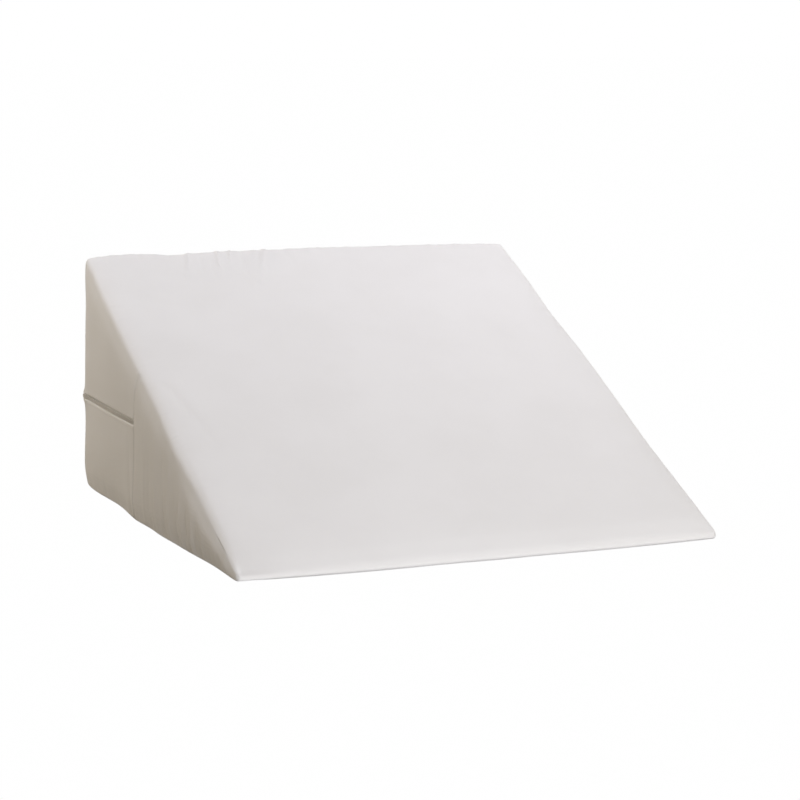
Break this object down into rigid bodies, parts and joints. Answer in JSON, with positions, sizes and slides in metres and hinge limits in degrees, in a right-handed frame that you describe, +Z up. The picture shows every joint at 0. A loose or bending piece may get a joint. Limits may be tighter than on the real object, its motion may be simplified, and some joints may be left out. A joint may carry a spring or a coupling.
{
  "type": "wedge pillow",
  "caption": "Foam wedge pillow in a sewn white cotton cover: a sloping top, triangular sides and a zip across its tall end.",
  "frame": {"origin": "on the floor, under the middle of the cushion's footprint", "axes": "+Z up, +Y towards the tall end, +X to the right across the width when seen from the low tip"},
  "size_m": [0.6184, 0.6249, 0.3078],
  "materials": {
    "cover": "matt plain-woven white cotton blend",
    "zip": "off-white nylon coil",
    "slider": "off-white enamel"
  },
  "bodies": {
    "root": {"wedge_cushion": "cover", "zip_chain": "zip", "zip_slider": "slider", "zip_pull": "slider"}
  },
  "joints": []
}
